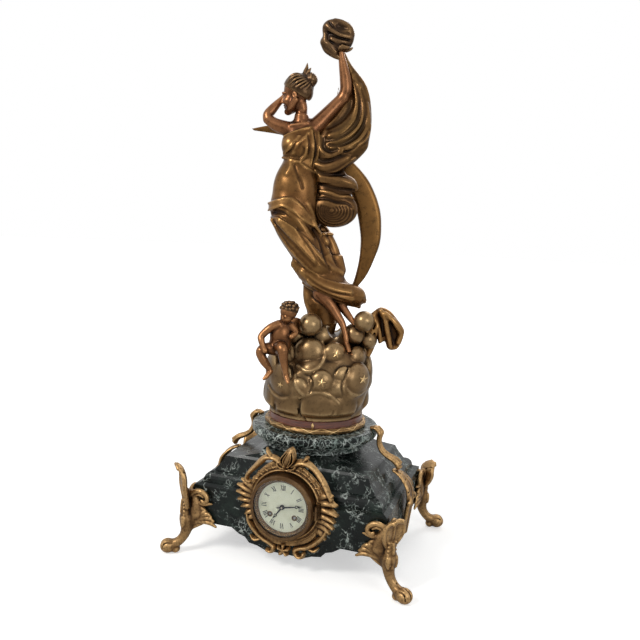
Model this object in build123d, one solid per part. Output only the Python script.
from build123d import *

import math
import os

# A figural mantel clock: a marble case on gilt feet, a round movement behind a hinged bezel,
# and a patinated cast figure on a cloud base, bolted through the marble disc.
# Millimetres, +Z up, the dial faces -Y, and the origin is on the floor under the case's centre.

# Marble case
case_half_width = 168.6
case_half_depth = 131.3
slab_thick = 22.0
wall_floor_z = 58.0
wall_top_z = 121.9
ledge_inset = 8.1
ledge_rise = 4.3
groove_wide = 1.6
groove_deep = 1.0
band_inset_x = 17.5
band_inset_y = 17.2
band_rise = 16.7
shoulder_inset_x = 16.0
shoulder_inset_y = 9.0
shoulder_rise = 25.0
crown_half_width = 63.0
crown_inset_y = 39.3
crown_rise = 13.0
pedestal_half_width = 62.0
pedestal_foot_inset_y = 26.8
pedestal_top_inset_y = 40.3
pedestal_rise = 45.0
apron_drop = 29.0
apron_half_width = 96.0
apron_share_steps = ((1.0, 0.0), (0.86, 0.30), (0.74, 0.42), (0.66, 0.72), (0.50, 0.80), (0.36, 0.98))
boss_radius = 56.0
boss_deep = 39.3
disc_neck_radius = 84.0
disc_neck_rise = 3.6
disc_radius = 111.4
disc_under_rise = 3.2
disc_rim_rise = 14.0
disc_height = 34.0
disc_top_radius = 89.0
disc_under_share = 0.86
disc_shoulder_share = 0.93

# Dial and its surround
dial_z = 117.0
dial_forward = 15.4
dial_radius = 44.0
dial_thick = 1.5
dial_plate_radius = 45.6
dial_plate_thick = 1.4
bore_radius = 47.0
case_seat_gap = 0.3
seat_radius = 53.0
seat_bore_radius = 46.0
seat_flange_radius = 39.8
dial_foot_circle = 38.0
dial_foot_turns = (60.0, 180.0, 300.0)
surround_thick = 5.6
surround_bore_gap = 0.6
surround_half_width = 87.0
surround_up = 90.0
surround_down = 91.0
surround_shares = (
    (1.0, 0.0), (0.94, 0.12), (0.76, 0.32), (0.72, 0.50), (0.60, 0.62), (0.52, 0.76), (0.30, 0.80), (0.18, 0.97),
    (0.0, 1.0), (-0.20, 0.96), (-0.34, 0.82), (-0.58, 0.74), (-0.66, 0.58), (-0.82, 0.44), (-0.84, 0.26),
    (-0.96, 0.14), (-1.0, 0.0), (-0.92, -0.16), (-0.90, -0.34), (-0.70, -0.46), (-0.64, -0.66), (-0.40, -0.78),
    (-0.26, -0.96), (0.0, -1.0), (0.26, -0.96), (0.42, -0.80), (0.66, -0.66), (0.78, -0.44), (0.92, -0.28),
    (0.94, -0.12),
)
rim_radius = 58.6
rim_thick = 2.6
crest_wide = 17.0
crest_tall = 24.0
crest_thick = 9.0
leaf_long = 33.0
leaf_wide = 13.0
flower_radius = 7.0
flower_petals = 5
petal_radius = 5.4

# Bezel, glass and their hinge
bezel_radius = 53.7
bezel_inner_radius = 49.4
bezel_lip_radius = 47.6
bezel_deep = 10.4
bezel_lip_thick = 1.8
glass_thick = 2.2
glass_gap = 0.2
sight_radius = 42.0
sight_outer_radius = 46.6
sight_deep = 3.6
sight_gap = 0.4
hinge_x = 57.6
hinge_forward = 3.7
knuckle_radius = 2.3
knuckle_long = 7.0
knuckle_gap = 0.3
pin_radius = 1.2
running_gap = 0.05
hinge_tab_thick = 1.6
knob_radius = 2.2

# Hands and motion work
hand_thick = 0.7
hand_gap = 0.9
minute_hand_long = 36.0
hour_hand_long = 27.0
minute_hand_tail = 9.0
moon_share = 0.70
moon_radius = 2.6
moon_bore_radius = 1.5
moon_wall = 0.6
hub_share = 0.55
blade_share = 0.3
hand_hub_wall = 1.6
collet_radius = 2.4
collet_thick = 1.0
minute_hand_clock_turn = 78.0
hour_hand_clock_turn = 216.7
cannon_radius = 1.6
hour_pipe_radius = 2.5
dial_hole_gap = 0.5
winding_x = 21.0
winding_z = -15.0
winding_hole_radius = 4.0
winding_square = 3.0
winding_radius = 2.2
ratchet_radius = 5.5
ratchet_teeth = 20

# Movement frame
plate_radius = 41.0
plate_thick = 2.0
front_plate_forward = 4.7
plate_spacing = 32.0
pillar_radius = 3.0
pillar_circle = 36.5
pillar_turns = (0.0, 55.0, 128.0, 180.0, 270.0)
arbor_radius = 1.4
pivot_radius = 0.8
centre_stem_radius = 0.9
tooth_height = 1.0
strap_in = 43.2
strap_wide = 8.0
strap_thick = 1.5
screw_radius = 1.5
screw_head_radius = 2.8
screw_head_thick = 1.6

# Trains: tooth counts and wheel sizes
great_teeth = 60
pinion_teeth = 12
wheel_teeth = 48
escape_teeth = 30
motion_cannon_teeth = 12
motion_teeth = 36
motion_pinion_teeth = 10
hour_teeth = 40
great_distance = 18.0
second_bearing = 100.0
pin_wheel_bearing = 95.0
third_x = -10.0
third_z = 14.0
escape_z = 24.0
pallet_z = 36.0
escape_radius = 7.5
motion_distance = 12.0
wheel_thick = 1.4
pinion_long = 3.6
barrel_radius = 13.2
barrel_long = 17.0
fly_distance = 12.5
fly_bearing = 100.0
fly_half_width = 6.2
fly_long = 11.0
lift_pins = 8
lift_pin_circle = 7.5
lift_pin_long = 2.2

# Escapement, pendulum, bell and hammer
pallet_gap = 0.9
pallet_thick = 1.2
pallet_half_span = 6.0
pallet_tip_shares = (0.94, 0.78)
crutch_long = 27.0
crutch_forward = 6.0
crutch_wide = 2.0
fork_gap = 1.8
pendulum_behind = 45.0
rod_radius = 0.9
pendulum_long = 103.0
bob_radius = 14.0
bob_thick = 7.0
spring_thick = 0.3
spring_wide = 5.0
spring_long = 9.0
spring_slot = 1.2
spring_grip = 1.2
cock_half_width = 4.0
rating_nut_radius = 3.0
rating_nut_high = 2.0
bell_radius = 32.0
bell_wall = 1.6
bell_deep = 17.0
bell_mouth_behind = 54.0
bell_waist_share = 0.80
bell_rise_share = 0.72
bell_stud_radius = 1.6
bell_nut_thick = 2.2
stand_x = 14.0
stand_z = -20.0
hammer_x = -14.0
hammer_z = 33.0
hammer_head_x = -33.2
hammer_head_z = 15.2
hammer_head_radius = 3.4
hammer_arm_forward = 3.6

# Rear closing
rear_ring_radius = 54.0
rear_ring_bore_radius = 38.0
rear_ring_thick = 3.0
door_radius = 51.0
door_thick = 1.6
door_knob_radius = 3.0

# Gilt feet, one at each corner
toe_reach_x = 38.9
toe_reach_y = 16.7
toe_long = 13.6
toe_wide = 12.4
toe_high = 11.0
toe_flat = 0.8
wing_thick = 4.6
wing_gap = 0.3
wing_long_x = 50.0
wing_long_y = 44.0
wing_high = 78.0
wing_floor_z = 50.0
wing_shares = (
    (0.0, 0.0), (0.0, 1.0), (0.22, 0.98), (0.46, 0.86), (0.60, 0.66), (0.50, 0.50), (0.70, 0.40),
    (1.0, 0.16), (0.96, 0.02), (0.60, 0.10), (0.40, 0.0), (0.20, -0.10),
)
calf_radius = 11.0
leaf_radius = 15.0
leaf_thin = 4.0
leaf_root_z = 84.0
leaf_tip_front_left_z = 160.0
leaf_tip_front_right_z = 131.0
leaf_tip_rear_right_z = 129.0
leaf_tip_rear_left_z = 136.0

# Gilt side mounts: a reeded scroll from the disc's rim and a drop leaf down the side
scroll_wide = 8.5
scroll_thick = 4.0
drop_wide = 21.0
drop_thick = 5.0
side_seat_gap = 0.3

# Ring, wooden socle and the cast figure above them
ring_outer_radius = 88.6
ring_high = 9.6
socle_radius = 82.6
socle_high = 21.0
ring_seat_gap = 0.3
ring_round = 2.4
rod_bore_radius = 4.4
tie_rod_radius = 4.0
tie_nut_across = 13.0
tie_nut_high = 6.5
tie_washer_radius = 11.0
tie_washer_thick = 2.0
tie_rod_top_z = 338.0
tie_spot_radius = 13.0
statue_turn = 18.35
statue_height = 662.0
figure_modules_high = 66.2
crescent_thick = 13.0
crescent_front = 28.0

# The figure's tables are shares of its module: places across, back and up, then half sizes
terrace_shares = (
    (8.2, 0.0), (8.2, 1.2), (8.2, 2.6), (8.2, 4.7), (8.0, 6.4), (7.4, 8.1), (6.8, 9.9), (5.8, 11.7), (4.2, 12.9),
    (2.4, 13.4),
)
hollow_shares = ((6.6, 0.0), (6.9, 3.5), (5.4, 6.4), (2.2, 8.0))
cloud_shares = (
    (-1.6, -4.4, 15.7, 2.0), (-1.8, -6.2, 10.9, 2.6), (2.6, -6.2, 10.8, 2.0), (0.7, -7.0, 6.8, 1.9),
    (-6.4, -5.8, 6.0, 2.5), (-3.3, -6.8, 5.5, 1.9), (7.6, -4.4, 6.8, 2.4), (0.5, -6.6, 2.5, 2.5),
    (-5.2, -6.2, 2.3, 2.2), (4.8, -6.6, 3.1, 2.2), (7.5, -3.0, 16.6, 1.8), (5.0, -5.6, 8.1, 2.0),
    (7.0, -3.4, 10.2, 2.1), (8.4, -0.8, 13.0, 1.7), (-8.2, -3.0, 8.0, 1.6), (-0.6, -3.0, 13.4, 2.2),
    (5.8, -2.0, 12.9, 2.0), (-6.0, -3.4, 10.2, 2.6), (-4.0, -2.0, 12.9, 2.6), (8.4, 0.4, 4.9, 1.8),
)
rear_cloud_rows_shares = ((2.8, 6.6, 2.3, 8.0, 41.0, 5), (6.9, 6.3, 2.4, 28.0, 41.0, 4), (10.6, 4.6, 2.5, 8.0, 55.0, 4))
body_shares = (
    (0.5, 0.0, 13.2, 2.2, 2.0), (0.4, 0.0, 18.2, 3.0, 2.3), (1.2, 0.0, 20.7, 3.8, 2.5), (-1.2, 0.0, 25.7, 3.3, 2.5),
    (-4.2, 0.0, 30.7, 3.8, 2.9), (-5.1, 0.0, 35.7, 4.1, 3.3), (-5.0, 0.0, 39.4, 3.7, 2.8),
    (-4.6, 0.0, 43.4, 3.0, 2.3), (-4.7, 0.0, 45.7, 3.3, 2.7), (-4.8, 0.0, 48.2, 3.1, 2.2),
    (-4.2, 0.0, 49.9, 2.0, 1.7),
)
belly_shares = (-5.5, -1.3, 38.4, 3.2, 2.2, 4.4)
seat_shares = (-3.8, 1.2, 35.7, 3.7, 2.6, 4.0)
bust_shares = ((-6.2, -1.4, 45.6, 1.6, 1.6, 1.7), (-4.1, -1.9, 45.2, 1.5, 1.3, 1.6))
thigh_shares = (
    (-6.2, -0.6, 35.7, 3.0, 3.0), (-5.3, -1.5, 32.2, 2.5, 2.5), (-3.2, -1.8, 28.2, 2.1, 2.1),
    (-1.2, -1.8, 25.7, 1.7, 1.7),
)
back_fold_shares = (
    (-0.6, 1.0, 32.4, 0.8, 0.8), (0.8, 0.8, 30.2, 1.1, 1.1), (1.7, 0.8, 28.0, 1.3, 1.3), (2.4, 0.6, 25.7, 1.4, 1.4),
    (2.6, 0.4, 23.7, 1.2, 1.2),
)
body_fold_shares = (
    ((-82, 36.1, 0.40, 0.0), (-28, 36.6, 0.50, 0.2), (10, 36.1, 0.50, 0.2), (34, 34.5, 0.45, 0.1), (55, 33.0, 0.35, 0.0)),
    ((-68, 33.6, 0.45, 0.2), (-20, 32.7, 0.60, 0.7), (12, 30.9, 0.55, 0.7), (34, 28.6, 0.45, 0.4)),
    ((-84, 33.0, 0.40, 0.0), (-58, 29.4, 0.45, 0.2), (-42, 26.9, 0.50, 0.2), (-22, 25.0, 0.50, 0.3), (8, 23.6, 0.40, 1.2)),
    ((-78, 43.3, 0.40, 0.0), (-12, 42.8, 0.50, 0.1), (36, 41.6, 0.50, 0.1), (80, 41.0, 0.40, 0.0)),
)
neck_shares = ((-4.7, 0.0, 49.4, 1.2, 1.2), (-5.0, -0.2, 52.2, 0.95, 0.95), (-5.4, -0.3, 53.6, 0.9, 0.9))
skull_shares = (-5.6, -0.4, 54.4, 2.2, 1.8, 2.6)
face_shares = (-6.5, -1.0, 53.9, 1.3, 1.2, 1.8)
bun_shares = (-3.2, 0.4, 55.7, 1.2, 1.2, 1.2)
tuft_shares = ((-3.0, 0.4, 56.3, 0.9, 0.9), (-3.4, 0.2, 57.9, 0.7, 0.6), (-3.6, 0.0, 58.7, 0.3, 0.3))
raised_arm_shares = (
    (-2.4, 0.2, 49.0, 1.5, 1.5), (-0.4, 0.4, 50.9, 1.3, 1.3), (1.8, 0.7, 53.5, 1.15, 1.15),
    (2.4, 0.4, 55.7, 1.05, 1.05), (2.0, 0.2, 57.7, 0.95, 0.95), (1.4, 0.0, 60.2, 0.65, 0.65),
    (1.3, -0.2, 61.3, 0.8, 0.5),
)
bent_arm_shares = (
    (-6.6, 0.0, 48.3, 1.35, 1.35), (-8.2, 0.0, 48.5, 1.15, 1.15), (-9.6, 0.1, 49.2, 1.0, 1.0),
    (-10.4, 0.3, 50.5, 0.88, 0.88), (-9.6, 0.7, 51.7, 0.78, 0.78), (-8.6, 1.0, 53.0, 0.58, 0.58),
    (-7.6, 1.5, 54.0, 0.5, 0.5),
)
bundle_shares = (
    (0.9, -0.2, 59.5, 0.8, 0.5), (0.7, -0.2, 60.7, 2.0, 0.9), (0.7, -0.2, 62.9, 2.7, 1.2),
    (0.7, -0.2, 64.9, 2.2, 1.1), (0.7, -0.2, 66.2, 0.7, 0.5),
)
cape_shares = (
    (-0.5, -1.2, 40.9, 0.8, 0.6), (0.0, -1.2, 41.7, 2.2, 1.2), (1.2, -1.2, 43.7, 3.6, 1.6),
    (2.2, -1.0, 45.7, 3.6, 1.8), (2.8, -0.4, 48.2, 3.8, 1.6), (4.0, 0.4, 50.7, 3.0, 1.4),
    (4.8, 0.9, 54.0, 1.9, 1.2), (4.0, 1.2, 57.2, 1.5, 0.9), (2.7, 1.4, 59.3, 0.9, 0.7), (1.9, 1.4, 61.2, 0.5, 0.4),
)
swirl_shares = (
    (1.2, -1.2, 32.1, 0.8, 0.6), (1.4, -1.2, 33.2, 2.4, 1.4), (2.1, -1.2, 35.5, 3.7, 2.0),
    (2.1, -1.2, 37.4, 3.7, 1.8), (2.0, -1.2, 39.2, 3.3, 1.4), (1.6, -1.2, 40.6, 2.4, 1.1),
    (1.0, -1.2, 42.0, 1.2, 0.8),
)
wrap_shares = (
    (-4.0, -2.2, 25.7, 1.4, 1.4), (0.0, -2.4, 23.5, 1.8, 1.8), (4.0, -1.4, 22.0, 2.0, 2.0),
    (6.8, -0.4, 20.5, 1.6, 1.6), (7.3, 0.0, 18.5, 0.8, 0.8),
)
leg_shares = (
    (0.0, -2.6, 19.9, 1.1, 1.1), (2.0, -3.0, 17.4, 0.9, 0.9), (3.8, -3.2, 14.5, 0.6, 0.6),
    (4.4, -3.6, 12.9, 0.65, 0.6), (5.0, -4.2, 11.7, 0.5, 0.4),
)
rear_foot_shares = ((3.0, -1.8, 19.4, 0.8, 0.7), (4.8, -2.6, 17.1, 0.9, 0.6), (5.8, -2.8, 15.9, 0.4, 0.35))
crescent_outer_shares = (
    (2.6, 12.4), (3.4, 16.0), (5.0, 19.5), (7.8, 23.9), (9.9, 29.8), (9.6, 35.6), (6.6, 41.5), (-0.5, 47.0),
    (-7.0, 49.2), (-13.0, 48.6),
)
crescent_inner_shares = (
    (-8.0, 47.7), (-2.0, 45.4), (2.8, 40.7), (5.6, 34.9), (6.4, 30.2), (5.3, 25.0), (3.0, 20.4), (1.4, 16.0),
    (1.0, 12.4),
)
rag_shares = (
    (6.6, 0.0, 18.9, 1.0, 1.0), (8.0, 0.0, 18.2, 1.2, 1.2), (10.5, 0.5, 18.2, 1.6, 1.6),
    (13.0, 0.5, 16.2, 1.7, 1.7), (13.6, 0.2, 13.7, 1.2, 1.2), (13.0, 0.0, 11.9, 0.7, 0.7),
)
child_shares = (
    (-6.7, -6.0, 10.9, 1.7, 1.5), (-6.7, -6.1, 12.4, 2.0, 1.8), (-6.5, -6.1, 14.2, 2.0, 1.75),
    (-6.3, -6.0, 15.8, 1.6, 1.2), (-5.9, -6.1, 16.6, 0.8, 0.8), (-5.5, -6.3, 17.4, 0.7, 0.7),
)
child_head_shares = (-5.2, -6.4, 18.2, 1.5, 1.5, 1.45)
child_arm_shares = (
    (-6.9, -6.5, 15.9, 0.8, 0.8), (-8.3, -7.0, 15.2, 0.7, 0.7), (-9.5, -7.2, 13.9, 0.62, 0.62),
    (-9.3, -7.9, 12.4, 0.5, 0.5),
)
child_near_leg_shares = (
    (-6.9, -6.6, 12.3, 1.15, 1.15), (-6.2, -7.9, 12.1, 1.0, 1.0), (-5.8, -8.4, 10.4, 0.75, 0.75),
    (-5.4, -8.3, 8.3, 0.5, 0.5), (-5.0, -8.9, 7.0, 0.4, 0.5),
)
child_far_leg_shares = (
    (-7.4, -6.4, 12.0, 1.05, 1.05), (-9.3, -7.3, 11.6, 0.95, 0.95), (-9.3, -7.6, 9.8, 0.75, 0.75),
    (-8.2, -7.4, 8.2, 0.5, 0.5), (-8.6, -8.1, 7.2, 0.4, 0.5),
)

# Levels and planes that the sizes above give
ledge_z = wall_top_z + ledge_rise
band_top_z = ledge_z + band_rise
shoulder_top_z = band_top_z + shoulder_rise
crown_z = shoulder_top_z + crown_rise
pedestal_top_z = band_top_z + pedestal_rise
disc_foot_z = pedestal_top_z
disc_top_z = disc_foot_z + disc_height
socle_top_z = disc_top_z + socle_high
statue_foot_z = socle_top_z
front_y = -case_half_depth
crown_half_depth = case_half_depth - crown_inset_y
pedestal_foot_y = case_half_depth - pedestal_foot_inset_y
pedestal_top_y = case_half_depth - pedestal_top_inset_y
boss_back_y = front_y + boss_deep
dial_y = front_y - dial_forward
hinge_y = dial_y - hinge_forward
front_plate_y = front_y - front_plate_forward
pendulum_y = front_plate_y + pendulum_behind
crutch_y = pendulum_y - crutch_forward
bell_mouth_y = front_plate_y + bell_mouth_behind
hammer_arm_y = bell_mouth_y - hammer_arm_forward
toe_x = case_half_width + toe_reach_x
toe_y = case_half_depth + toe_reach_y
band_half_width = case_half_width - ledge_inset - band_inset_x
band_half_depth = case_half_depth - ledge_inset - band_inset_y
shoulder_half_width = band_half_width - shoulder_inset_x
shoulder_half_depth = band_half_depth - shoulder_inset_y
back_plate_y = front_plate_y + plate_thick + plate_spacing
dial_plate_y = dial_y + dial_thick
bezel_back_y = dial_y - case_seat_gap
bezel_front_y = bezel_back_y - bezel_deep
overrun = slab_thick
figure_module = statue_height / figure_modules_high

os.makedirs("parts", exist_ok=True)


def keep(name, shape):
    """Write one named piece of the clock."""
    export_step(shape, f"parts/{name}.step")


def keep_group(name, shapes):
    """Write several separate solids of one kind as one named piece."""
    solids = [solid for shape in shapes for solid in shape.solids()]
    keep(name, Compound(children=solids))


def box_between(x0, x1, y0, y1, z0, z1):
    """A block between two corners."""
    centre = ((x0 + x1) / 2, (y0 + y1) / 2, (z0 + z1) / 2)
    return Pos(*centre) * Box(abs(x1 - x0), abs(y1 - y0), abs(z1 - z0))


def round_bar(x, z, radius, y0, y1):
    """A cylinder along Y at a place given from the dial's centre."""
    bar = Rotation(-90, 0, 0) * Cylinder(radius, abs(y1 - y0))
    return Pos(x, (y0 + y1) / 2, dial_z + z) * bar


def standing_bar(x, y, radius, z0, z1):
    """A cylinder along Z between two heights."""
    return Pos(x, y, (z0 + z1) / 2) * Cylinder(radius, z1 - z0)


def plate_outline(points, y0, y1):
    """Extrude a closed outline, given as X and Z, from y0 to y1."""
    face = make_face(Plane.XZ * Polyline(*points, close=True))
    return Pos(0, y1, 0) * extrude(face, y1 - y0, dir=(0, -1, 0))


def smooth_plate(points, y0, y1):
    """The same with one smooth closed curve through the points."""
    face = make_face(Plane.XZ * Spline(*points, periodic=True))
    return Pos(0, y1, 0) * extrude(face, y1 - y0, dir=(0, -1, 0))


def turned_about_dial(points):
    """Revolve a profile of (radius, y) points about the dial's axis."""
    face = make_face(Plane.XY * Polyline(*points, close=True))
    return Pos(0, 0, dial_z) * revolve(face, Axis.Y)


def turned_upright(points):
    """Revolve a profile of (radius, z) points about the clock's upright axis."""
    face = make_face(Plane.XZ * Polyline(*points, close=True))
    return revolve(face, Axis.Z)


def rectangle_loft(levels):
    """Straight-sided stone through rectangles of (half width, half depth, z)."""
    sections = [Pos(0, 0, z) * Rectangle(2 * half_x, 2 * half_y) for half_x, half_y, z in levels]
    return loft(sections, ruled=True)


def limb(stations, across=(0, 1, 0)):
    """Loft ellipses square to a path; a station is x, y, z, half width and half depth."""
    places = [Vector(*station[:3]) for station in stations]
    sections = []
    for index, station in enumerate(stations):
        before = places[max(index - 1, 0)]
        after = places[min(index + 1, len(places) - 1)]
        along = (after - before).normalized()
        side = along.cross(Vector(*across)).normalized()
        frame = Plane(origin=places[index], x_dir=side, z_dir=along)
        sections.append(frame * Ellipse(station[3], station[4]))
    return loft(sections)


def stack(stations):
    """Loft level ellipses; a station is x, y, z, half width and half depth."""
    sections = [Pos(x, y, z) * Ellipse(half_x, half_y) for x, y, z, half_x, half_y in stations]
    return loft(sections)


def egg(centre, half_x, half_y, half_z):
    """An ellipsoid with its three half sizes."""
    return Pos(*centre) * scale(Sphere(1), (half_x, half_y, half_z))


def toothed(teeth, pitch_radius, turn=0.0):
    """The outline of a wheel with pointed teeth; a tooth stands at the given angle."""
    tip = pitch_radius + tooth_height / 4
    root = tip - tooth_height
    points = []
    for index in range(teeth):
        angle = math.radians(turn) + 2 * math.pi * index / teeth
        half = math.pi / teeth
        points.append((tip * math.cos(angle), tip * math.sin(angle)))
        points.append((root * math.cos(angle + half), root * math.sin(angle + half)))
    return points


def wheel(x, z, teeth, pitch_radius, y0, turn=0.0, thick=wheel_thick):
    """A toothed wheel on an axis along Y, from y0 towards the back."""
    points = [(x + px, dial_z + z + pz) for px, pz in toothed(teeth, pitch_radius, turn)]
    return plate_outline(points, y0, y0 + thick)


def meshing_turn(teeth, partner_teeth, partner_turn, bearing):
    """The angle of a tooth of the driven wheel that lets it mesh with its partner.

    bearing is the direction in degrees from the partner's centre to this wheel's centre.
    """
    partner_pitch = 360 / partner_teeth
    phase = ((bearing - partner_turn) / partner_pitch) % 1
    pitch = 360 / teeth
    return bearing + 180 + pitch * (0.5 + phase)


def bearing_to(x0, z0, x1, z1):
    """Direction in degrees from one axis to another, in the plane of the dial."""
    return math.degrees(math.atan2(z1 - z0, x1 - x0))


# Marble case


def scalloped_outline(half_width):
    """The front or back slab: straight top, stepped and scalloped apron below."""
    right = [(x * apron_half_width, wall_floor_z - drop * apron_drop) for x, drop in apron_share_steps]
    left = [(-x, z) for x, z in reversed(right)]
    top = [(-half_width, wall_floor_z), (-half_width, wall_top_z), (half_width, wall_top_z)]
    return top + [(half_width, wall_floor_z)] + right + left


def build_case():
    """The slabs, moulding, shoulder, pedestal, dial block and disc."""
    bore = round_bar(0, 0, bore_radius, front_y - overrun, -front_y + overrun)
    front = plate_outline(scalloped_outline(case_half_width), front_y, front_y + slab_thick) - bore
    keep("plinth_front", front)
    back = plate_outline(scalloped_outline(case_half_width), -front_y - slab_thick, -front_y) - bore
    keep("plinth_back", back)
    inner_y = case_half_depth - slab_thick
    walls = []
    for side in (-1, 1):
        walls.append(
            box_between(
                side * (case_half_width - slab_thick), side * case_half_width, -inner_y, inner_y,
                wall_floor_z, wall_top_z,
            )
        )
    keep_group("plinth_sides", walls)
    ledge_x = case_half_width - ledge_inset
    ledge_y = case_half_depth - ledge_inset
    chamfered = rectangle_loft(
        ((case_half_width, case_half_depth, wall_top_z), (ledge_x, ledge_y, ledge_z - groove_deep))
    )
    lip = rectangle_loft(
        (
            (ledge_x - groove_wide, ledge_y - groove_wide, ledge_z - groove_deep),
            (ledge_x - groove_wide, ledge_y - groove_wide, ledge_z),
        )
    )
    round_levels = []
    steps = 5
    for index in range(steps + 1):
        angle = math.pi / 2 * index / steps
        round_levels.append(
            (
                band_half_width + (ledge_x - 2 * groove_wide - band_half_width) * math.cos(angle),
                band_half_depth + (ledge_y - 2 * groove_wide - band_half_depth) * math.cos(angle),
                ledge_z + band_rise * math.sin(angle),
            )
        )
    dial_block = round_bar(0, 0, boss_radius, front_y, boss_back_y)
    rear_block = round_bar(0, 0, boss_radius, -boss_back_y, -front_y)
    moulding = chamfered + lip + rectangle_loft(round_levels) - bore - dial_block - rear_block
    keep("plinth_moulding", moulding)
    pedestal = rectangle_loft(
        (
            (pedestal_half_width, pedestal_foot_y, band_top_z),
            (pedestal_half_width, (pedestal_foot_y + pedestal_top_y) / 2 - groove_wide, (band_top_z + crown_z) / 2),
            (pedestal_half_width, pedestal_top_y, pedestal_top_z),
        )
    )
    shoulder = rectangle_loft(
        (
            (band_half_width, band_half_depth, band_top_z),
            (shoulder_half_width + shoulder_inset_x / 4, shoulder_half_depth + shoulder_inset_y / 3,
             band_top_z + shoulder_rise * 2 / 3),
            (shoulder_half_width, shoulder_half_depth, shoulder_top_z),
            ((shoulder_half_width + crown_half_width) / 2, (shoulder_half_depth + crown_half_depth) / 2,
             shoulder_top_z + crown_rise / 3),
            (crown_half_width, crown_half_depth, crown_z),
        )
    )
    rod_hole = standing_bar(0, 0, rod_bore_radius, wall_top_z, disc_top_z + overrun)
    nut_pocket = standing_bar(0, 0, tie_spot_radius, wall_top_z, dial_z + bore_radius + tie_washer_thick)
    keep("shoulder_block", shoulder - pedestal - bore - dial_block - rear_block)
    keep("pedestal", pedestal - bore - dial_block - rear_block - rod_hole - nut_pocket)
    below = box_between(
        -boss_radius, boss_radius, front_y, -front_y, wall_floor_z - boss_radius, wall_top_z
    )
    keep_group("dial_blocks", (dial_block - bore - below, rear_block - bore - below))
    keep("marble_disc", build_disc() - rod_hole)


def build_disc():
    """The turned disc with its undercut neck, swelling rim and hollow upper slope."""
    under_z = disc_foot_z + disc_neck_rise
    rim_z = disc_foot_z + disc_rim_rise
    profile = Polyline(
        (0, disc_foot_z), (disc_neck_radius, disc_foot_z), (disc_neck_radius, under_z),
        (disc_radius * disc_under_share, under_z),
    )
    belly = ThreePointArc(
        (disc_radius * disc_under_share, under_z),
        (disc_radius * (1 + disc_under_share) / 2 + disc_under_rise / 2, (under_z + rim_z) / 2 - disc_under_rise / 2),
        (disc_radius, rim_z),
    )
    slope = ThreePointArc(
        (disc_radius, rim_z),
        (disc_radius * disc_shoulder_share, rim_z + disc_under_rise * 2),
        (disc_top_radius + disc_under_rise, disc_top_z - disc_under_rise),
    )
    top = Polyline(
        (disc_top_radius + disc_under_rise, disc_top_z - disc_under_rise), (disc_top_radius, disc_top_z),
        (0, disc_top_z), (0, disc_foot_z),
    )
    face = make_face(Plane.XZ * (profile + belly + slope + top))
    return revolve(face, Axis.Z)


# Gilt mounts


def build_surround():
    """The pierced rococo frame round the dial, with its rim, crest, leaves and flower."""
    points = []
    for x, z in surround_shares:
        reach = surround_up if z > 0 else surround_down
        points.append((x * surround_half_width, dial_z + z * reach))
    surround_front_y = front_y - surround_thick
    sheet = smooth_plate(points, surround_front_y, front_y)
    bore = round_bar(0, 0, seat_radius + surround_bore_gap, surround_front_y - overrun, front_y + overrun)
    rim = turned_about_dial(
        (
            (rim_radius - rim_thick, surround_front_y), (rim_radius + rim_thick, surround_front_y),
            (rim_radius + rim_thick / 2, surround_front_y - rim_thick),
            (rim_radius - rim_thick / 2, surround_front_y - rim_thick),
        )
    )
    relief_y = surround_front_y
    crest = egg((0, relief_y, dial_z + surround_up - crest_tall), crest_wide / 2, crest_thick, crest_tall)
    shaped = sheet + crest
    for side in (-1, 1):
        spray = limb(
            (
                (side * (rim_radius + rim_thick), relief_y, dial_z + leaf_wide, leaf_wide / 4, leaf_wide / 4),
                (side * (rim_radius + leaf_wide), relief_y, dial_z, leaf_wide / 2, leaf_wide / 3),
                (side * (rim_radius + leaf_wide * 3 / 2), relief_y, dial_z - leaf_long / 2,
                 leaf_wide / 2, leaf_wide / 3),
                (side * rim_radius, relief_y, dial_z - leaf_long, leaf_wide / 5, leaf_wide / 5),
            )
        )
        shaped = shaped + spray
        scroll = Pos(side * leaf_long * 2 / 3, relief_y, dial_z - surround_down + leaf_wide) * Sphere(flower_radius)
        shaped = shaped + scroll
        upper = Pos(side * surround_half_width / 2, relief_y, dial_z + surround_up / 2 + leaf_wide)
        shaped = shaped + upper * Sphere(petal_radius)
    flower_z = dial_z - surround_down + flower_radius * 3 / 2
    for index in range(flower_petals):
        angle = 2 * math.pi * index / flower_petals + math.pi / 2
        petal = Pos(flower_radius * math.cos(angle), relief_y, flower_z + flower_radius * math.sin(angle))
        shaped = shaped + petal * Sphere(petal_radius)
    behind = box_between(
        -surround_half_width, surround_half_width, front_y, front_y + overrun,
        dial_z - surround_down - overrun, dial_z + surround_up + overrun,
    )
    hinge_pocket = box_between(
        bezel_radius, hinge_x + knuckle_radius * 2, surround_front_y - overrun, surround_front_y + knuckle_gap,
        dial_z - knuckle_long * 2, dial_z + knuckle_long * 2,
    )
    keep("dial_surround", shaped + rim - bore - behind - hinge_pocket)


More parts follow.
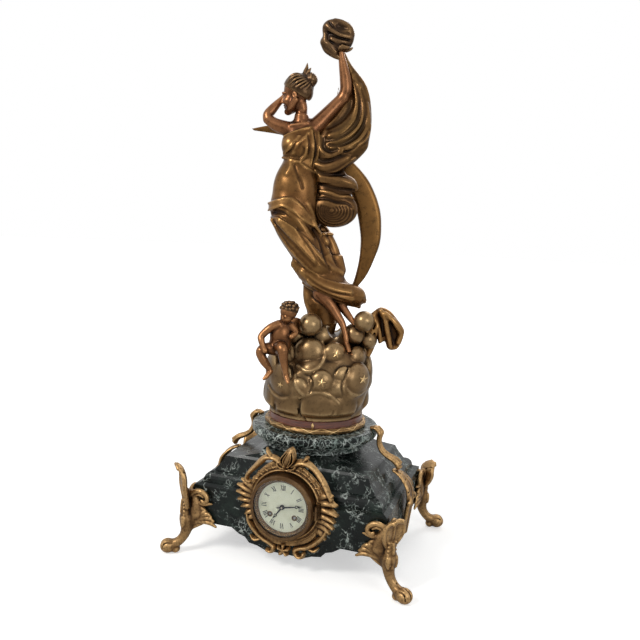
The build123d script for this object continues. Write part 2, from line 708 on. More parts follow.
def foot_solid(leaf_tip_z):
    """One foot for the corner at +X and -Y: wings, tall leaf, calf and toe."""
    face_y = front_y
    corner_x = case_half_width
    wing = [
        (corner_x + wing_thick - x * (wing_long_x + wing_thick), wing_floor_z + z * wing_high)
        for x, z in wing_shares
    ]
    front_face = make_face(Plane.XZ * (Spline(*wing[1:], wing[0]) + Line(wing[0], wing[1])))
    front_wing = Pos(0, face_y - wing_gap, 0) * extrude(front_face, wing_thick, dir=(0, -1, 0))
    side = [
        (x * (wing_long_y + wing_thick) + face_y - wing_thick, wing_floor_z + z * wing_high)
        for x, z in wing_shares
    ]
    side_face = make_face(Plane.YZ * (Spline(*side[1:], side[0]) + Line(side[0], side[1])))
    side_wing = Pos(corner_x + wing_gap, 0, 0) * extrude(side_face, wing_thick, dir=(1, 0, 0))
    knee_x = corner_x + wing_thick * 0.8
    knee_y = -case_half_depth - wing_thick * 0.8
    out_x = toe_x - knee_x
    out_y = -toe_y - knee_y
    calf_share = (
        (-0.02, 0.72, 1.0), (0.10, 0.56, 1.0), (0.22, 0.42, 0.72), (0.36, 0.30, 0.50),
        (0.58, 0.17, 0.46), (0.86, 0.10, 0.62),
    )
    calf_top_z = wing_floor_z + wing_high
    calf = limb(
        [
            (knee_x + out_x * out, knee_y + out_y * out, calf_top_z * high, calf_radius * size, calf_radius * size)
            for out, high, size in calf_share
        ]
    )
    toe = egg((toe_x, -toe_y, toe_high - toe_flat), toe_long, toe_wide, toe_high)
    under = box_between(0, toe_x + toe_long * 2, -toe_y * 2, 0, -toe_high * 2, 0)
    lean = leaf_tip_z - leaf_root_z
    leaf_share = ((0.0, 0.0, 0.50), (0.24, 0.26, 0.92), (0.40, 0.55, 1.0), (0.34, 0.80, 0.80), (0.62, 1.0, 0.30))
    leaf = limb(
        [
            (knee_x + out_x * out, knee_y + out_y * out, leaf_root_z + lean * high, leaf_thin, leaf_radius * size)
            for out, high, size in leaf_share
        ],
        across=(-out_y, out_x, 0),
    )
    marble = box_between(
        0, corner_x + wing_gap, face_y - wing_gap, 0, wall_floor_z - wing_high, leaf_tip_z + wing_high
    )
    return front_wing + side_wing + (calf - marble) + (leaf - marble) + (toe - under)


def build_feet():
    """The four corner feet."""
    rows = (
        ("feet_front", leaf_tip_front_right_z, leaf_tip_front_left_z, False),
        ("feet_rear", leaf_tip_rear_right_z, leaf_tip_rear_left_z, True),
    )
    for name, right_tip_z, left_tip_z, to_rear in rows:
        pair = [foot_solid(right_tip_z), mirror(foot_solid(left_tip_z), Plane.YZ)]
        if to_rear:
            pair = [mirror(foot, Plane.XZ) for foot in pair]
        keep_group(name, pair)


def build_side_mounts():
    """The scroll that hooks over the disc's rim, and the drop leaf on the side wall."""
    rim_z = disc_foot_z + disc_rim_rise
    start_x = disc_radius + scroll_thick + side_seat_gap
    step_x = case_half_width - start_x
    scroll_shares = (
        (-0.10, 0.16, 0.55), (0.0, 0.0, 0.85), (0.01, -0.24, 0.80), (0.14, -0.44, 0.75),
        (0.42, -0.62, 0.90), (0.66, -0.78, 1.0), (0.74, -0.96, 0.70),
    )
    fall = rim_z - band_top_z
    scroll = limb(
        [
            (start_x + step_x * out, 0, rim_z + fall * high, scroll_thick, scroll_wide * size)
            for out, high, size in scroll_shares
        ]
    )
    wall_x = case_half_width + drop_thick + side_seat_gap
    drop_top = band_top_z + band_rise / 2
    drop = drop_top - wall_floor_z
    drop_shares = (
        (-0.52, 0.0, 0.40), (-0.24, -0.12, 0.72), (0.02, -0.28, 1.0), (0.10, -0.50, 0.86),
        (0.05, -0.76, 0.80), (0.0, -0.98, 0.55),
    )
    leaf = limb(
        [
            (wall_x + slab_thick * out * 2, 0, drop_top + drop * high, drop_thick, drop_wide * size)
            for out, high, size in drop_shares
        ]
    )
    curl = Pos(wall_x + drop_thick, -drop_wide * 0.7, drop_top - drop / 2) * Sphere(drop_thick)
    stone = rectangle_loft(
        (
            (case_half_width, case_half_depth, wall_floor_z), (case_half_width, case_half_depth, wall_top_z),
            (case_half_width - ledge_inset, case_half_depth - ledge_inset, ledge_z),
            (band_half_width, band_half_depth, band_top_z),
            (shoulder_half_width, shoulder_half_depth, shoulder_top_z),
            (crown_half_width, crown_half_depth, crown_z),
        )
    )
    mount = leaf + curl - stone
    right = [scroll - stone - mount, mount]
    left = [mirror(piece, Plane.YZ) for piece in right]
    keep_group("side_mounts", right + left)


def build_rings():
    """The gilt ring, the wooden socle, and the rod that ties the figure down."""
    inner = socle_radius + ring_seat_gap
    ring_top_z = disc_top_z + ring_high
    keep(
        "gilt_ring",
        turned_upright(
            (
                (inner, disc_top_z), (ring_outer_radius - ring_round, disc_top_z),
                (ring_outer_radius, disc_top_z + ring_round), (ring_outer_radius, ring_top_z - ring_round),
                (ring_outer_radius - ring_round, ring_top_z), (inner, ring_top_z),
            )
        ),
    )
    rod_hole = standing_bar(0, 0, rod_bore_radius, disc_top_z, socle_top_z)
    keep("wood_socle", standing_bar(0, 0, socle_radius, disc_top_z, socle_top_z) - rod_hole)
    roof_z = dial_z + bore_radius + tie_washer_thick
    nut_z = roof_z - tie_washer_thick - tie_nut_high
    rod = standing_bar(0, 0, tie_rod_radius, nut_z - tie_washer_thick, tie_rod_top_z)
    washer = standing_bar(0, 0, tie_washer_radius, roof_z - tie_washer_thick, roof_z)
    nut_face = Pos(0, 0, nut_z) * RegularPolygon(tie_nut_across / 2, 6, major_radius=False)
    keep_group("tie_rod", (rod, washer - rod, extrude(nut_face, tie_nut_high) - rod))


def cut_away(shape, *others):
    """Seat a cast piece against its neighbours: what they fill is taken from it."""
    for other in others:
        shape = shape - other
    return max(shape.solids(), key=lambda solid: solid.volume)


def modelled(stations):
    """Turn a table of shares of the figure's module into places above the socle."""
    placed = []
    for x, y, z, half_x, half_y in stations:
        placed.append(
            (
                x * figure_module, y * figure_module, statue_foot_z + z * figure_module,
                half_x * figure_module, half_y * figure_module,
            )
        )
    return placed


def lump(x, y, z, half_x, half_y, half_z):
    """One rounded mass of cloud, hair or flesh, from shares of the module."""
    centre = (x * figure_module, y * figure_module, statue_foot_z + z * figure_module)
    return egg(centre, half_x * figure_module, half_y * figure_module, half_z * figure_module)


def outline_of(shares):
    """Places of an outline or a turned profile, from shares of the module."""
    return [(across * figure_module, statue_foot_z + up * figure_module) for across, up in shares]


def turned_mass(shares):
    """A mass turned about the upright axis, with a smooth side and flat ends."""
    side = outline_of(shares)
    low = (0, side[0][1])
    high = (0, side[-1][1])
    face = make_face(Plane.XZ * (Spline(*side) + Polyline(side[-1], high, low, side[0])))
    return revolve(face, Axis.Z)


def rounded_cloud(x, y, z, radius):
    """One ball of cloud, from shares of the module."""
    place = Pos(x * figure_module, y * figure_module, statue_foot_z + z * figure_module)
    return place * Sphere(radius * figure_module)


def rear_clouds():
    """The rows of cloud round the back; a row is height, reach, radius, first bearing, step and count."""
    made = []
    for z, reach, radius, first, step, count in rear_cloud_rows_shares:
        for index in range(count):
            x, y = away(0, 0, reach, first + step * index)
            made.append(rounded_cloud(x, y, z, radius))
    return made


def body_section(z):
    """Centre and half sizes of the body's oval at a height, in modules."""
    for low, high in zip(body_shares, body_shares[1:]):
        if z <= high[2]:
            share = (z - low[2]) / (high[2] - low[2])
            return [start + (end - start) * share for start, end in zip(low, high)]
    return body_shares[-1]


def laid_fold(shares):
    """A round fold of cloth on the front of the body; a station is bearing, height, radius and lift."""
    stations = []
    for bearing, z, radius, lift in shares:
        x, y, _, half_x, half_y = body_section(z)
        across = x + half_x * math.sin(math.radians(bearing))
        back = y - half_y * math.cos(math.radians(bearing)) - lift
        stations.append((across, back, z, radius, radius))
    return limb(modelled(stations), across=(0, 0, 1))


def crescent_solid():
    """The flat crescent moon that stands behind the figure, points to the left and below."""
    outer = outline_of(crescent_outer_shares)
    inner = outline_of(crescent_inner_shares)
    edges = Spline(*outer) + Spline(outer[-1], *inner) + Line(inner[-1], outer[0])
    face = make_face(Plane.XZ * edges)
    return Pos(0, crescent_front + crescent_thick, 0) * extrude(face, crescent_thick, dir=(0, -1, 0))


def build_figure():
    """The cast group: clouds, crescent, striding figure, draperies and seated child."""
    turned = Rotation(0, 0, statue_turn)
    rod_hole = standing_bar(0, 0, tie_rod_radius, statue_foot_z, tie_rod_top_z)
    clouds = [rounded_cloud(*shares) for shares in cloud_shares]
    terrace = turned_mass(terrace_shares) + (clouds + rear_clouds())
    terrace = terrace - turned_mass(hollow_shares) - rod_hole
    body = stack(modelled(body_shares)) + limb(modelled(wrap_shares)) + limb(modelled(rear_foot_shares))
    body = body + lump(*belly_shares) + lump(*seat_shares) + limb(modelled(thigh_shares))
    body = body + limb(modelled(back_fold_shares))
    for shares in bust_shares:
        body = body + lump(*shares)
    for shares in body_fold_shares:
        body = body + laid_fold(shares)
    body = cut_away(body, *clouds)
    terrace = cut_away(terrace, body)
    keep("cloud_terrace", turned * terrace)
    keep("figure_body", turned * body)
    head = limb(modelled(neck_shares)) + lump(*skull_shares) + lump(*face_shares) + lump(*bun_shares)
    head = cut_away(head + limb(modelled(tuft_shares)), body)
    keep("figure_head", turned * head)
    raised = cut_away(limb(modelled(raised_arm_shares)), body, head)
    keep("arm_raised", turned * raised)
    bent = cut_away(limb(modelled(bent_arm_shares)), body, head)
    keep("arm_bent", turned * bent)
    bundle = cut_away(stack(modelled(bundle_shares)), raised)
    keep("held_bundle", turned * bundle)
    leg = cut_away(limb(modelled(leg_shares)), body, terrace)
    keep("leg_forward", turned * leg)
    cape = cut_away(stack(modelled(cape_shares)) + stack(modelled(swirl_shares)), body, raised, bundle, head)
    keep("cape_drapery", turned * cape)
    moon = cut_away(crescent_solid(), terrace)
    keep("crescent_moon", turned * moon)
    rag = cut_away(limb(modelled(rag_shares)), body, terrace)
    keep("side_drapery", turned * rag)
    child = stack(modelled(child_shares)) + lump(*child_head_shares) + limb(modelled(child_arm_shares))
    child = child + limb(modelled(child_near_leg_shares)) + limb(modelled(child_far_leg_shares))
    keep("child_figure", turned * cut_away(child, terrace))


def build_dial():
    """The seat ring, dial plate, enamel dial and sloped sight ring."""
    holes = [round_bar(0, 0, hour_pipe_radius + dial_hole_gap, dial_y - overrun, front_plate_y)]
    for side in (-1, 1):
        holes.append(
            round_bar(side * winding_x, winding_z, winding_hole_radius, dial_y - overrun, front_plate_y)
        )
    enamel = round_bar(0, 0, dial_radius, dial_y, dial_plate_y)
    backing = round_bar(0, 0, dial_plate_radius, dial_plate_y, dial_plate_y + dial_plate_thick)
    for turn in dial_foot_turns:
        x = dial_foot_circle * math.cos(math.radians(turn))
        z = dial_foot_circle * math.sin(math.radians(turn))
        backing = backing + round_bar(x, z, arbor_radius, dial_plate_y, front_plate_y)
    for hole in holes:
        enamel = enamel - hole
        backing = backing - hole
    keep("dial_enamel", enamel)
    keep("dial_plate", backing)
    flange_y = front_plate_y + plate_thick
    keep(
        "bezel_seat",
        turned_about_dial(
            (
                (seat_bore_radius, dial_y), (seat_radius, dial_y), (seat_radius, front_y),
                (seat_flange_radius, front_y), (seat_flange_radius, flange_y), (seat_bore_radius, flange_y),
            )
        ),
    )
    keep(
        "sight_ring",
        turned_about_dial(
            (
                (sight_radius, dial_y), (sight_outer_radius, dial_y), (sight_outer_radius, dial_y - sight_deep),
                (sight_outer_radius - sight_gap * 2, dial_y - sight_deep), (sight_radius, dial_y - sight_gap),
            )
        ),
    )


def hinge_knuckle(x, y, low_share, high_share, bore):
    """One knuckle of a hinge, between two shares of the knuckle's length from the dial's level."""
    z0 = dial_z + knuckle_long * low_share
    z1 = dial_z + knuckle_long * high_share
    return standing_bar(x, y, knuckle_radius, z0, z1) - standing_bar(x, y, bore, z0 - overrun, z1 + overrun)


def hinge_pin_at(x, y):
    """The pin through a hinge's three knuckles, standing a little proud at both ends."""
    reach = knuckle_long * 3 / 2 + pin_radius
    return standing_bar(x, y, pin_radius, dial_z - reach, dial_z + reach)


def build_bezel():
    """The bezel with its glass, moving knuckle and knob, and the bracket that it hinges on."""
    lip_back_y = bezel_front_y + bezel_lip_thick
    ring = turned_about_dial(
        (
            (bezel_inner_radius, bezel_back_y), (bezel_radius, bezel_back_y),
            (bezel_radius, (bezel_back_y + bezel_front_y * 2) / 3), (bezel_radius - bezel_lip_thick, bezel_front_y),
            (bezel_lip_radius, bezel_front_y), (bezel_lip_radius, lip_back_y), (bezel_inner_radius, lip_back_y),
        )
    )
    inside = round_bar(0, 0, bezel_inner_radius, bezel_front_y - overrun, bezel_back_y + overrun)
    tab = box_between(
        bezel_inner_radius, hinge_x, hinge_y - hinge_tab_thick / 2, hinge_y + hinge_tab_thick / 2,
        dial_z - knuckle_long / 2 + knuckle_gap, dial_z + knuckle_long / 2 - knuckle_gap,
    )
    pin_hole = standing_bar(
        hinge_x, hinge_y, pin_radius + running_gap, dial_z - knuckle_long * 2, dial_z + knuckle_long * 2
    )
    gap_share = knuckle_gap / knuckle_long
    knuckle = hinge_knuckle(hinge_x, hinge_y, gap_share - 1 / 2, 1 / 2 - gap_share, pin_radius + running_gap)
    knob = Pos(-bezel_radius - knob_radius / 2, (bezel_front_y + bezel_back_y) / 2, dial_z) * Sphere(knob_radius)
    keep("bezel", ring + (tab - inside - pin_hole) + knuckle + knob)
    glass_y = lip_back_y + glass_thick
    keep("bezel_glass", round_bar(0, 0, bezel_inner_radius - glass_gap, lip_back_y, glass_y))
    bracket_y = front_y - surround_thick + knuckle_gap
    bracket = None
    for low, high in ((-3 / 2, -1 / 2), (1 / 2, 3 / 2)):
        leaf = box_between(
            hinge_x - hinge_tab_thick / 2, hinge_x + hinge_tab_thick / 2, hinge_y, bracket_y,
            dial_z + knuckle_long * low, dial_z + knuckle_long * high,
        )
        piece = leaf + hinge_knuckle(hinge_x, hinge_y, low, high, pin_radius)
        piece = piece - standing_bar(
            hinge_x, hinge_y, pin_radius, dial_z - knuckle_long * 2, dial_z + knuckle_long * 2
        )
        bracket = piece if bracket is None else bracket + piece
    foot_plate = box_between(
        hinge_x - knuckle_radius, hinge_x + knuckle_radius, bracket_y - hinge_tab_thick, bracket_y,
        dial_z - knuckle_long * 3 / 2, dial_z + knuckle_long * 3 / 2,
    )
    keep_group("bezel_hinge", (bracket + foot_plate, hinge_pin_at(hinge_x, hinge_y)))


def hand_solid(long, tail, clock_turn, back_y, bore):
    """A blued hand with a ring near its tip, turned clockwise from twelve."""
    ring_z = long * moon_share
    blade = [
        (-hub_share * moon_radius, 0), (-blade_share * moon_radius, ring_z - moon_radius + moon_wall),
        (blade_share * moon_radius, ring_z - moon_radius + moon_wall), (hub_share * moon_radius, 0),
        (blade_share * moon_radius, -tail), (-blade_share * moon_radius, -tail),
    ]
    tip = [
        (-blade_share * moon_radius * 2, ring_z + moon_radius - moon_wall), (0, long),
        (blade_share * moon_radius * 2, ring_z + moon_radius - moon_wall),
    ]
    front_y = back_y - hand_thick
    raised = [[(x, dial_z + z) for x, z in outline] for outline in (blade, tip)]
    hand = plate_outline(raised[0], front_y, back_y) + plate_outline(raised[1], front_y, back_y)
    hand = hand + round_bar(0, ring_z, moon_radius, front_y, back_y)
    hand = hand - round_bar(0, ring_z + moon_wall / 2, moon_bore_radius, front_y - overrun, back_y + overrun)
    hand = hand + round_bar(0, 0, bore + hand_hub_wall, front_y, back_y)
    hand = hand - round_bar(0, 0, bore, front_y - overrun, back_y + overrun)
    return Pos(0, 0, dial_z) * Rotation(0, clock_turn, 0) * Pos(0, 0, -dial_z) * hand


def build_motion_work():
    """The hands and the wheels behind the dial that turn them."""
    hour_back_y = dial_y - hand_gap
    minute_back_y = hour_back_y - hand_thick - hand_gap
    minute_front_y = minute_back_y - hand_thick
    collet_front_y = minute_front_y - collet_thick
    keep("hour_hand", hand_solid(hour_hand_long, 0, hour_hand_clock_turn, hour_back_y, hour_pipe_radius))
    hand = hand_solid(minute_hand_long, minute_hand_tail, minute_hand_clock_turn, minute_back_y, cannon_radius)
    collet = round_bar(0, 0, collet_radius, collet_front_y, minute_front_y)
    collet = collet - round_bar(0, 0, cannon_radius, collet_front_y - overrun, minute_back_y)
    keep("minute_hand", hand + collet)
    ratio_in = motion_cannon_teeth / (motion_cannon_teeth + motion_teeth)
    ratio_out = motion_pinion_teeth / (motion_pinion_teeth + hour_teeth)
    first_y = front_plate_y - knuckle_gap
    cannon = round_bar(0, 0, cannon_radius, collet_front_y - knuckle_gap, first_y)
    cannon = cannon + wheel(
        0, 0, motion_cannon_teeth, motion_distance * ratio_in, first_y - wheel_thick * 2, 0.0, wheel_thick * 2
    )
    stem = round_bar(0, 0, centre_stem_radius + running_gap, collet_front_y - overrun, front_plate_y)
    keep("cannon_pinion", cannon - stem)
    down = bearing_to(0, 0, 0, -motion_distance)
    motion_y = first_y - wheel_thick - knuckle_gap
    motion = wheel(
        0, -motion_distance, motion_teeth, motion_distance * (1 - ratio_in), motion_y,
        meshing_turn(motion_teeth, motion_cannon_teeth, 0.0, down),
    )
    pinion_front_y = motion_y - pinion_long
    motion = motion + wheel(
        0, -motion_distance, motion_pinion_teeth, motion_distance * ratio_out, pinion_front_y, 0.0, pinion_long
    )
    stud = round_bar(0, -motion_distance, pivot_radius + running_gap, pinion_front_y - overrun, front_plate_y)
    keep("motion_wheel", motion - stud)
    hour_y = pinion_front_y + knuckle_gap
    hour_wheel = wheel(
        0, 0, hour_teeth, motion_distance * (1 - ratio_out), hour_y,
        meshing_turn(hour_teeth, motion_pinion_teeth, 0.0, down + 180),
    )
    hour_wheel = hour_wheel + round_bar(0, 0, hour_pipe_radius, hour_back_y - hand_thick, hour_y + wheel_thick)
    bore = round_bar(0, 0, cannon_radius + running_gap, minute_back_y, front_plate_y)
    keep("hour_wheel", hour_wheel - bore)


def arbor(x, z, long_front=0.0, long_back=0.0):
    """A steel arbor with a pivot in each plate; the extra lengths pass out through the plates."""
    inner_front = front_plate_y + plate_thick + knuckle_gap
    inner_back = back_plate_y - knuckle_gap
    shaft = round_bar(x, z, arbor_radius, inner_front, inner_back)
    pivots = round_bar(x, z, pivot_radius, front_plate_y - long_front, back_plate_y + plate_thick + long_back)
    return shaft + pivots


def away(x, z, distance, bearing):
    """The place at a distance from an axis, in a direction given in degrees."""
    return x + distance * math.cos(math.radians(bearing)), z + distance * math.sin(math.radians(bearing))


def suspension_floor_z():
    """The level of the suspension cock's underside, just over the crutch."""
    return dial_z + pallet_z + crutch_wide + knuckle_gap * 2


def build_plates(pivots):
    """The two plates with their pivot holes, the pillars and the motion wheel's stud."""
    inside_y = front_plate_y + plate_thick
    front = round_bar(0, 0, plate_radius, front_plate_y, inside_y)
    back = round_bar(0, 0, plate_radius, back_plate_y, back_plate_y + plate_thick)
    for x, z in pivots:
        hole = round_bar(x, z, pivot_radius + running_gap, front_plate_y - overrun, back_plate_y + overrun)
        front = front - hole
        back = back - hole
    front = front - round_bar(0, 0, centre_stem_radius + running_gap, front_plate_y - overrun, inside_y)
    cock_z = suspension_floor_z()
    cock = box_between(
        -cock_half_width, cock_half_width, back_plate_y + plate_thick, pendulum_y + cock_half_width, cock_z,
        cock_z + cock_half_width,
    )
    slit = box_between(
        -spring_slot / 2, spring_slot / 2, pendulum_y - spring_wide / 2 - knuckle_gap, pendulum_y + overrun,
        cock_z - overrun, cock_z + spring_grip + knuckle_gap,
    )
    back = back + (cock - slit)
    for side in (-1, 1):
        x = side * winding_x
        front = front - round_bar(x, winding_z, winding_radius + running_gap, front_plate_y - overrun, inside_y)
        back = back - round_bar(x, winding_z, pivot_radius + running_gap, inside_y, back_plate_y + overrun)
    stud_front_y = front_plate_y - knuckle_gap * 2 - wheel_thick - pinion_long
    keep("front_plate", front + round_bar(0, -motion_distance, pivot_radius, stud_front_y, front_plate_y))
    keep("back_plate", back)
    pillars = []
    for turn in pillar_turns:
        x, z = away(0, 0, pillar_circle, turn)
        pillars.append(round_bar(x, z, pillar_radius, inside_y, back_plate_y))
    keep("plate_pillars", Compound(children=pillars))


def build_barrels(great_y, great_radius):
    """The two spring barrels with their great wheels, and the winding arbors inside them."""
    inside_y = front_plate_y + plate_thick
    ratchet_y = front_plate_y - knuckle_gap - wheel_thick
    half = winding_square / 2
    for side, name in ((1, "going"), (-1, "strike")):
        x = side * winding_x
        barrel = round_bar(x, winding_z, barrel_radius, inside_y + knuckle_gap * 2, great_y)
        barrel = barrel + wheel(x, winding_z, great_teeth, great_radius, great_y)
        hole = round_bar(x, winding_z, winding_radius + running_gap, inside_y - overrun, back_plate_y)
        keep(f"{name}_barrel", barrel - hole)
        shaft = round_bar(x, winding_z, winding_radius, ratchet_y, back_plate_y - knuckle_gap)
        shaft = shaft + round_bar(x, winding_z, pivot_radius, great_y, back_plate_y + plate_thick)
        shaft = shaft + wheel(x, winding_z, ratchet_teeth, ratchet_radius, ratchet_y)
        shaft = shaft + box_between(
            x - half, x + half, dial_y + knuckle_gap, ratchet_y, dial_z + winding_z - half, dial_z + winding_z + half
        )
        keep(f"{name}_winding_arbor", shaft)


def arbor_with_pinion(place, partner, partner_teeth, pitch_radius, wheel_y, teeth=pinion_teeth):
    """An arbor whose pinion meshes with a partner wheel that has a tooth at angle zero."""
    x, z = place
    turn = meshing_turn(teeth, partner_teeth, 0.0, bearing_to(*partner, x, z))
    return arbor(x, z) + wheel(x, z, teeth, pitch_radius, wheel_y - wheel_thick / 2, turn, wheel_thick * 2)


def build_movement():
    """The going train, the striking train and the parts that they carry."""
    inside_y = front_plate_y + plate_thick
    great_y = inside_y + barrel_long + knuckle_gap * 2
    second_y = great_y + wheel_thick * 3
    centre_y = second_y + wheel_thick * 3
    great_radius = great_distance * great_teeth / (great_teeth + pinion_teeth)
    pinion_radius = great_distance - great_radius
    centre = (0, 0)
    second = away(winding_x, winding_z, great_distance, second_bearing)
    third = (third_x, third_z)
    escape = (0, escape_z)
    pins = away(-winding_x, winding_z, great_distance, pin_wheel_bearing)
    fan = away(*pins, fly_distance, fly_bearing)
    build_plates((centre, second, third, escape, pins, fan, (0, pallet_z), (hammer_x, hammer_z)))
    build_barrels(great_y, great_radius)

    second_distance = math.hypot(*second)
    second_radius = second_distance * great_teeth / (great_teeth + pinion_teeth)
    piece = arbor_with_pinion(second, (winding_x, winding_z), great_teeth, pinion_radius, great_y)
    keep("second_wheel", piece + wheel(*second, great_teeth, second_radius, second_y))

    large_share = wheel_teeth / (wheel_teeth + pinion_teeth)
    centre_radius = math.hypot(*third) * large_share
    piece = arbor_with_pinion(centre, second, great_teeth, second_distance - second_radius, second_y)
    stem_front_y = dial_y - hand_gap * 2 - hand_thick * 2 - collet_thick
    piece = piece + round_bar(0, 0, centre_stem_radius, stem_front_y, inside_y + knuckle_gap)
    keep("centre_wheel", piece + wheel(0, 0, wheel_teeth, centre_radius, centre_y))

    third_radius = math.hypot(third_x, escape_z - third_z) * large_share
    piece = arbor_with_pinion(third, centre, wheel_teeth, math.hypot(*third) - centre_radius, centre_y)
    keep("third_wheel", piece + wheel(*third, wheel_teeth, third_radius, great_y))

    escape_y = inside_y + plate_spacing / 3
    escape_pinion_radius = math.hypot(third_x, escape_z - third_z) - third_radius
    piece = arbor_with_pinion(escape, third, wheel_teeth, escape_pinion_radius, great_y)
    keep("escape_wheel", piece + wheel(*escape, escape_teeth, escape_radius, escape_y))

    pin_wheel_radius = fly_distance * large_share
    piece = arbor_with_pinion(pins, (-winding_x, winding_z), great_teeth, pinion_radius, great_y)
    piece = piece + wheel(*pins, wheel_teeth, pin_wheel_radius, second_y)
    for index in range(lift_pins):
        x, z = away(*pins, lift_pin_circle, 360 * index / lift_pins)
        piece = piece + round_bar(x, z, pivot_radius, second_y - lift_pin_long, second_y)
    keep("pin_wheel", piece)

    fan_x, fan_z = fan
    piece = arbor_with_pinion(fan, pins, wheel_teeth, fly_distance - pin_wheel_radius, second_y)
    fly_y = inside_y + plate_thick * 2
    blade = box_between(
        fan_x - fly_half_width, fan_x + fly_half_width, fly_y, fly_y + fly_long,
        dial_z + fan_z - arbor_radius / 2, dial_z + fan_z + arbor_radius / 2,
    )
    keep("fly", piece + blade)
    build_escapement(escape_y)
    build_bell_and_hammer()


def build_escapement(escape_y):
    """The pallets on their arbor with the crutch, and the pendulum on its spring."""
    tip_drop = pallet_z - escape_z
    reach = escape_radius + tooth_height / 4 + pallet_gap
    outer_tip, inner_tip = pallet_tip_shares
    anchor = [
        (-pallet_half_span, dial_z + pallet_z), (0, dial_z + pallet_z + pallet_thick * 2),
        (pallet_half_span, dial_z + pallet_z), (reach * outer_tip, dial_z + pallet_z - tip_drop / 2),
        (reach * inner_tip, dial_z + pallet_z - tip_drop / 2), (pallet_half_span / 2, dial_z + pallet_z - pallet_thick),
        (-pallet_half_span / 2, dial_z + pallet_z - pallet_thick), (-reach * inner_tip, dial_z + pallet_z - tip_drop / 2),
        (-reach * outer_tip, dial_z + pallet_z - tip_drop / 2),
    ]
    pallets = plate_outline(anchor, escape_y, escape_y + wheel_thick)
    back_y = back_plate_y + plate_thick
    crutch_front_y = crutch_y - crutch_wide / 2
    pallets = pallets + arbor(0, pallet_z, 0.0, crutch_y + crutch_wide / 2 - back_y)
    foot_z = dial_z + pallet_z - crutch_long
    arm = box_between(
        -crutch_wide / 2, crutch_wide / 2, crutch_front_y, crutch_y + crutch_wide / 2, foot_z,
        dial_z + pallet_z + crutch_wide,
    )
    fork = box_between(
        -fork_gap - crutch_wide, fork_gap + crutch_wide, crutch_front_y, pendulum_y + fork_gap, foot_z,
        foot_z + crutch_wide,
    )
    slot = box_between(
        -fork_gap, fork_gap, crutch_y + crutch_wide / 2, pendulum_y + overrun, foot_z - overrun, dial_z + pallet_z
    )
    keep("pallets", pallets + arm + (fork - slot))
    spring_top_z = suspension_floor_z() + spring_grip
    spring_foot_z = spring_top_z - spring_long
    spring = box_between(
        -spring_thick / 2, spring_thick / 2, pendulum_y - spring_wide / 2, pendulum_y + spring_wide / 2,
        spring_foot_z, spring_top_z,
    )
    bob_z = dial_z + pallet_z - pendulum_long
    nut_top_z = bob_z - bob_radius
    rod = standing_bar(0, pendulum_y, rod_radius, nut_top_z - rating_nut_high * 3 / 2, spring_foot_z)
    nut = standing_bar(0, pendulum_y, rating_nut_radius, nut_top_z - rating_nut_high, nut_top_z)
    keep_group("pendulum_rod", (spring, rod, nut - rod))
    keep("pendulum_bob", egg((0, pendulum_y, bob_z), bob_radius, bob_thick / 2, bob_radius) - rod)


def build_bell_and_hammer():
    """The bell on its bent stand, and the hammer that strikes its rim from outside."""
    crown_y = bell_mouth_y + bell_deep
    waist = bell_radius * bell_waist_share
    waist_y = bell_mouth_y + bell_deep * bell_rise_share
    outer = Spline((bell_radius, bell_mouth_y), (waist, waist_y), (bell_stud_radius, crown_y))
    inner_crown_y = crown_y - bell_wall
    inner = Spline(
        (bell_stud_radius, inner_crown_y), (waist - bell_wall, waist_y - bell_wall),
        (bell_radius - bell_wall, bell_mouth_y),
    )
    ends = Line((bell_stud_radius, crown_y), (bell_stud_radius, inner_crown_y)) + Line(
        (bell_radius - bell_wall, bell_mouth_y), (bell_radius, bell_mouth_y)
    )
    bell = Pos(0, 0, dial_z) * revolve(make_face(outer + ends + inner), Axis.Y)
    keep("bell", bell)
    back_y = back_plate_y + plate_thick
    arm_y = bell_mouth_y + bell_deep / 3
    half = bell_stud_radius
    post = round_bar(stand_x, stand_z, half, back_y, arm_y + half)
    slope = math.atan2(stand_z, stand_x)
    dx, dz = half * math.sin(slope), half * math.cos(slope)
    bar = plate_outline(
        (
            (-dx, dial_z + dz), (stand_x - dx, dial_z + stand_z + dz),
            (stand_x + dx, dial_z + stand_z - dz), (dx, dial_z - dz),
        ),
        arm_y, arm_y + half,
    )
    stem = round_bar(0, 0, half, arm_y, crown_y + bell_nut_thick)
    collar = round_bar(0, 0, half * 2, inner_crown_y - half, inner_crown_y)
    nut = round_bar(0, 0, half * 2, crown_y, crown_y + bell_nut_thick)
    keep_group("bell_stand", (post + bar + stem + collar - bell, nut - stem - bell))

    hammer = arbor(hammer_x, hammer_z, 0.0, hammer_arm_y - back_y)
    arm_half = pivot_radius
    outline = [
        (hammer_x + arm_half, dial_z + hammer_z - arm_half),
        (hammer_head_x + arm_half, dial_z + hammer_head_z - arm_half),
        (hammer_head_x - arm_half, dial_z + hammer_head_z + arm_half),
        (hammer_x - arm_half, dial_z + hammer_z + arm_half),
    ]
    hammer = hammer + plate_outline(outline, hammer_arm_y - arm_half, hammer_arm_y + arm_half)
    hammer = hammer + round_bar(hammer_x, hammer_z, arm_half * 2, hammer_arm_y - arm_half, hammer_arm_y + arm_half)
    head_back_y = bell_mouth_y + hammer_head_radius * 3 / 2
    hammer = hammer + round_bar(
        hammer_head_x, hammer_head_z, hammer_head_radius, hammer_arm_y - arm_half, head_back_y
    )
    keep("hammer", hammer)


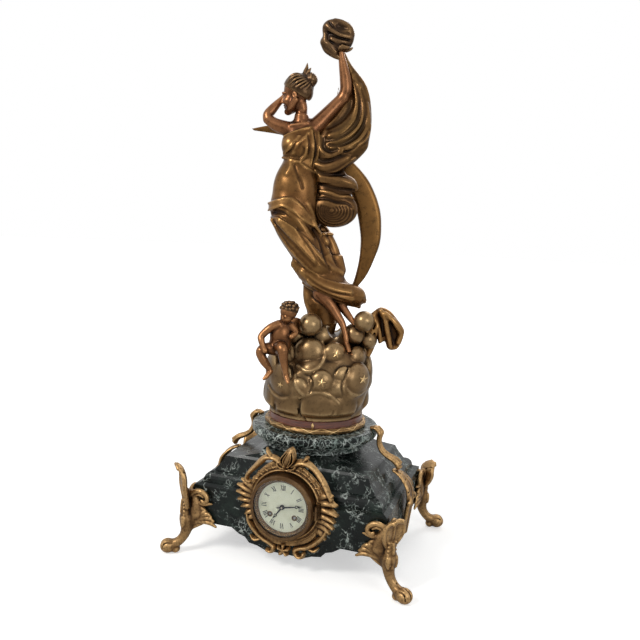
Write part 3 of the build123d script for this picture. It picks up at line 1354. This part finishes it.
def build_rear():
    """The straps that draw front and rear together, the rear ring, door and their screws."""
    strap_out = strap_in + strap_thick
    rear_y = -front_y
    straps = []
    screws = []
    ring = turned_about_dial(
        (
            (rear_ring_bore_radius, rear_y), (rear_ring_radius, rear_y),
            (rear_ring_radius, rear_y + rear_ring_thick), (rear_ring_bore_radius, rear_y + rear_ring_thick),
        )
    )
    for side in (-1, 1):
        strap = box_between(
            side * strap_in, side * strap_out, front_y, rear_y, dial_z - strap_wide / 2, dial_z + strap_wide / 2
        )
        lug = box_between(
            side * (strap_in - screw_head_radius), side * strap_in, rear_y - screw_head_thick * 2, rear_y,
            dial_z - strap_wide / 2, dial_z + strap_wide / 2,
        )
        screw_x = side * (strap_in - screw_radius)
        shank = round_bar(screw_x, 0, screw_radius / 2, rear_y - screw_head_thick, rear_y + rear_ring_thick)
        head_y = rear_y + rear_ring_thick - screw_head_thick
        head = round_bar(screw_x, 0, screw_radius, head_y, rear_y + rear_ring_thick)
        screw = shank + head
        screws.append(screw)
        straps.append(strap + lug - shank)
        ring = ring - screw
    hinge_z = dial_z
    door_y = rear_y + rear_ring_thick + knuckle_gap
    rear_hinge_x = -rear_ring_radius - knuckle_radius - knuckle_gap
    rear_hinge_y = rear_y + rear_ring_thick + knuckle_radius
    for low, high in ((-3 / 2, -1 / 2), (1 / 2, 3 / 2)):
        leaf = box_between(
            rear_hinge_x - hinge_tab_thick / 2, -rear_ring_radius + knuckle_radius, rear_y + knuckle_gap,
            rear_y + rear_ring_thick, hinge_z + knuckle_long * low, hinge_z + knuckle_long * high,
        )
        post = box_between(
            rear_hinge_x - hinge_tab_thick / 2, rear_hinge_x + hinge_tab_thick / 2, rear_y + knuckle_gap,
            rear_hinge_y, hinge_z + knuckle_long * low, hinge_z + knuckle_long * high,
        )
        ring = ring + leaf + post + hinge_knuckle(rear_hinge_x, rear_hinge_y, low, high, pin_radius)
    through = standing_bar(
        rear_hinge_x, rear_hinge_y, pin_radius, dial_z - knuckle_long * 2, dial_z + knuckle_long * 2
    )
    keep_group("rear_ring", (ring - through, hinge_pin_at(rear_hinge_x, rear_hinge_y)))
    keep_group("case_straps", straps + screws)
    gap_share = knuckle_gap / knuckle_long
    knuckle = hinge_knuckle(
        rear_hinge_x, rear_hinge_y, gap_share - 1 / 2, 1 / 2 - gap_share, pin_radius + running_gap
    )
    tab = box_between(
        rear_hinge_x, -door_radius + knuckle_radius, door_y, door_y + door_thick,
        dial_z - knuckle_long / 2 + knuckle_gap, dial_z + knuckle_long / 2 - knuckle_gap,
    )
    loose = standing_bar(
        rear_hinge_x, rear_hinge_y, pin_radius + running_gap, dial_z - knuckle_long * 2, dial_z + knuckle_long * 2
    )
    door = round_bar(0, 0, door_radius, door_y, door_y + door_thick) + (tab - loose) + knuckle
    knob_x = door_radius - door_knob_radius * 2
    door = door + round_bar(knob_x, 0, door_knob_radius / 2, door_y, door_y + door_thick + door_knob_radius)
    door = door + Pos(knob_x, door_y + door_thick + door_knob_radius, dial_z) * Sphere(door_knob_radius)
    keep("rear_door", door)


build_case()
build_surround()
build_feet()
build_side_mounts()
build_rings()
build_dial()
build_bezel()
build_motion_work()
build_movement()
build_rear()
build_figure()
